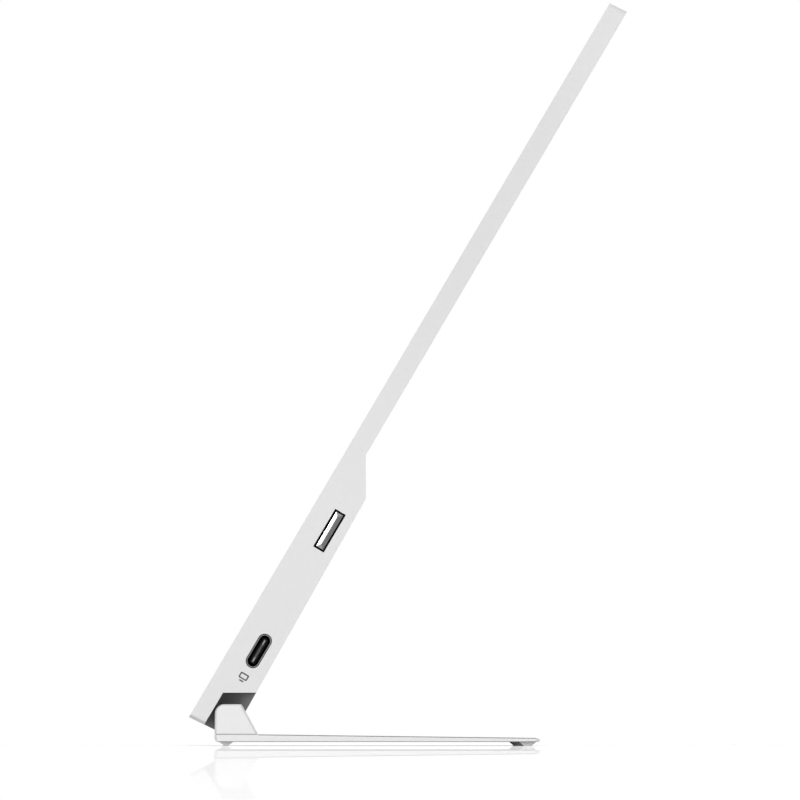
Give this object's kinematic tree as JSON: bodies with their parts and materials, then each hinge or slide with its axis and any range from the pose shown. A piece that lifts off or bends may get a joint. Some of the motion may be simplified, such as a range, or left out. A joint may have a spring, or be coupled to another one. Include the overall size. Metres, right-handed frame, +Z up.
{
  "type": "portable monitor with fold-flat stand",
  "caption": "Slim portable monitor: thin upper screen, thicker lower housing with side port and keys, leaning back on a fold-flat stand plate with friction hinges.",
  "frame": {"origin": "centre of the whole part's outline at rest, on the surface that the feet stand on", "axes": "+X to the right of someone who looks at the screen, +Y from the screen side to the back, +Z up"},
  "size_m": [0.3218, 0.1068, 0.1812],
  "materials": {
    "cover_shell": "fine satin, pale grey",
    "stand_shell": "fine satin paint, pale grey",
    "hinge_plastic": "satin dark grey",
    "trim_grey": "matt mid grey",
    "bezel_black": "fine-grained matt black",
    "screen_glass": "anti-glare dark screen, switched off",
    "rubber": "matt grey rubber",
    "hinge_steel": "machined",
    "spring_steel": "ground",
    "screw_steel": "blackened",
    "film_white": "milky",
    "guide_acrylic": "clear",
    "tray_metal": "pressed sheet",
    "led_strip": "phosphor yellow on white",
    "board_green": "solder mask",
    "flex_amber": "polyimide",
    "flex_white": "satin",
    "tape_black": "foam tape",
    "chip_black": "moulded",
    "port_metal": "drawn shell",
    "tongue_black": "moulded",
    "switch_white": "moulded",
    "key_metal": "bright chamfered"
  },
  "bodies": {
    "stand": {"stand_plate": "stand_shell", "ear_right": "stand_shell", "ear_left": "stand_shell", "foot_front": "rubber", "foot_rear": "rubber", "hinge_leaf_right": "hinge_steel", "hinge_leaf_left": "hinge_steel", "hinge_shaft_right": "hinge_steel", "hinge_shaft_left": "hinge_steel", "spring_washers_right": "spring_steel", "spring_washers_left": "spring_steel", "hinge_nut_right": "hinge_steel", "hinge_nut_left": "hinge_steel", "stand_screws": "screw_steel"},
    "display": {"rear_cover": "cover_shell", "hinge_cover": "hinge_plastic", "hinge_bracket_right": "hinge_steel", "hinge_bracket_left": "hinge_steel", "bottom_trim": "trim_grey", "front_bezel": "bezel_black", "lcd_glass": "screen_glass", "optical_films": "film_white", "light_guide": "guide_acrylic", "reflector_sheet": "film_white", "panel_tray": "tray_metal", "led_bar": "led_strip", "driver_board": "board_green", "driver_flex": "flex_amber", "tape_strips": "tape_black", "main_board": "board_green", "main_board_parts": "chip_black", "shield_can": "tray_metal", "side_board": "board_green", "side_board_parts": "chip_black", "panel_cable": "flex_amber", "board_cable": "flex_white", "usb_c_shell_right": "port_metal", "usb_c_shell_left": "port_metal", "usb_c_tongue_right": "tongue_black", "usb_c_tongue_left": "tongue_black", "power_switch": "switch_white", "brightness_switches": "switch_white", "housing_screws": "screw_steel", "rocker_pin": "hinge_steel"},
    "power_key": {"power_button": "key_metal"},
    "brightness_key": {"brightness_rocker": "key_metal"}
  },
  "joints": [
    {"name": "tilt_hinge", "type": "hinge", "parent": "stand", "child": "display", "pos_m": [0, -0.04362, 0.00595], "axis": [1, 0, 0], "range_deg": [-59.48, 30.52]},
    {"name": "power_press", "type": "slide", "parent": "display", "child": "power_key", "axis": [-1, 0, 0], "range_m": [0, 0.00035], "stiffness_N_per_m": 3000},
    {"name": "brightness_rock", "type": "hinge", "parent": "display", "child": "brightness_key", "pos_m": [-0.1571, -0.0191, 0.0525], "axis": [0, 0.8615, -0.5078], "range_deg": [-2.2, 2.2], "stiffness_Nm_per_rad": 0.12}
  ]
}
